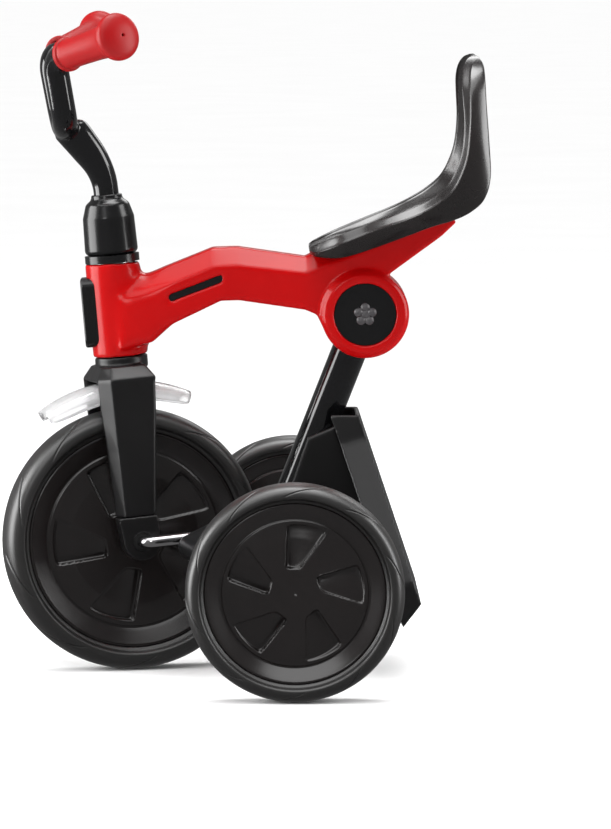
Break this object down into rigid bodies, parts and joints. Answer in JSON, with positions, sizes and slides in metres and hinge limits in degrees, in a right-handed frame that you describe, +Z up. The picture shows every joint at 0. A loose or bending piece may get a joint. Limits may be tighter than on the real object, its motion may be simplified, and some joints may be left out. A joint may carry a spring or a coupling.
{
  "type": "folding tricycle",
  "caption": "Children's pedal tricycle that folds: moulded frame with seat, steered front wheel with cranks, and a rear leg with its wheels that swings under the frame.",
  "frame": {"origin": "on the floor under the middle of the bounding box, in the folded standing pose", "axes": "+Z up, -X towards the front wheel, +Y towards the rider's right"},
  "size_m": [0.4276, 0.47, 0.5802],
  "materials": {
    "red_plastic": "glossy moulded",
    "red_grip": "satin soft grip",
    "seat_plastic": "glossy moulded",
    "black_plastic": "glossy moulded",
    "charcoal_plastic": "satin moulded",
    "wheel_plastic": "satin moulded",
    "tyre_foam": "smooth foam",
    "clear_plastic": "frosted clear",
    "black_paint": "gloss paint",
    "pedal_plastic": "satin moulded",
    "chrome_steel": "polished",
    "bush_plastic": "plain",
    "zinc_steel": "zinc plated"
  },
  "bodies": {
    "frame": {"frame_left_shell": "red_plastic", "frame_right_shell": "red_plastic", "frame_screws": "zinc_steel", "head_sleeve": "zinc_steel", "headset_bushes": "bush_plastic", "head_badge": "black_plastic", "slot_insert_left": "black_plastic", "slot_insert_right": "black_plastic", "pivot_shaft": "zinc_steel", "pivot_bushes": "bush_plastic", "hub_cap_right": "black_plastic", "release_spring": "zinc_steel", "seat": "seat_plastic", "seat_screws": "zinc_steel"},
    "release_button": {"release_button": "black_plastic"},
    "steering": {"steerer_tube": "zinc_steel", "fork": "charcoal_plastic", "fork_cap_left": "charcoal_plastic", "fork_cap_right": "charcoal_plastic", "front_axle_bushes": "bush_plastic", "mudguard": "clear_plastic", "mudguard_screws": "zinc_steel", "collar_ring": "black_plastic", "steering_collar": "black_plastic", "handlebar_stem": "black_paint", "handlebar": "black_paint", "grip_left": "red_grip", "grip_right": "red_grip"},
    "front_wheel": {"front_tyre": "tyre_foam", "front_wheel_left_shell": "wheel_plastic", "front_wheel_right_shell": "wheel_plastic", "crank_rod": "chrome_steel", "left_pedal_cap": "zinc_steel", "right_pedal_cap": "zinc_steel"},
    "left_pedal": {"left_pedal": "pedal_plastic"},
    "right_pedal": {"right_pedal": "pedal_plastic"},
    "rear_leg": {"leg_tube": "black_paint", "rear_spine": "charcoal_plastic", "rear_step": "charcoal_plastic", "rear_axle": "zinc_steel", "axle_tube_left": "black_paint", "axle_tube_right": "black_paint"},
    "left_rear_wheel": {"left_rear_tyre": "tyre_foam", "left_rear_outer_shell": "wheel_plastic", "left_rear_inner_shell": "wheel_plastic", "left_rear_bush": "bush_plastic", "left_rear_hub_cover": "black_plastic"},
    "right_rear_wheel": {"right_rear_tyre": "tyre_foam", "right_rear_outer_shell": "wheel_plastic", "right_rear_inner_shell": "wheel_plastic", "right_rear_bush": "bush_plastic", "right_rear_hub_cover": "black_plastic"}
  },
  "joints": [
    {"name": "steer", "type": "hinge", "parent": "frame", "child": "steering", "pos_m": [-0.11205, 0, 0.27534], "axis": [-0.0872, 0, 0.9962], "range_deg": [-55, 25]},
    {"name": "front_wheel_spin", "type": "hinge", "parent": "steering", "child": "front_wheel", "pos_m": [-0.1032, -0.00137, 0.1155], "axis": [-0.2578, 0.9659, -0.0226], "continuous": true},
    {"name": "left_pedal_spin", "type": "hinge", "parent": "front_wheel", "child": "left_pedal", "pos_m": [-0.02552, -0.07987, 0.1223], "axis": [-0.2578, 0.9659, -0.0226], "continuous": true},
    {"name": "right_pedal_spin", "type": "hinge", "parent": "front_wheel", "child": "right_pedal", "pos_m": [-0.18088, 0.07712, 0.1087], "axis": [-0.2578, 0.9659, -0.0226], "continuous": true},
    {"name": "fold", "type": "hinge", "parent": "frame", "child": "rear_leg", "pos_m": [0.1023, 0, 0.315], "axis": [0, -1, 0], "range_deg": [0, 90]},
    {"name": "left_wheel_spin", "type": "hinge", "parent": "rear_leg", "child": "left_rear_wheel", "pos_m": [0.0395, -0.215, 0.093], "axis": [0, 1, 0], "continuous": true},
    {"name": "right_wheel_spin", "type": "hinge", "parent": "rear_leg", "child": "right_rear_wheel", "pos_m": [0.0395, 0.215, 0.093], "axis": [0, 1, 0], "continuous": true},
    {"name": "release_press", "type": "slide", "parent": "frame", "child": "release_button", "axis": [0, 1, 0], "range_m": [0, 0.003], "stiffness_N_per_m": 1500, "deforming": ["release_spring"]}
  ]
}
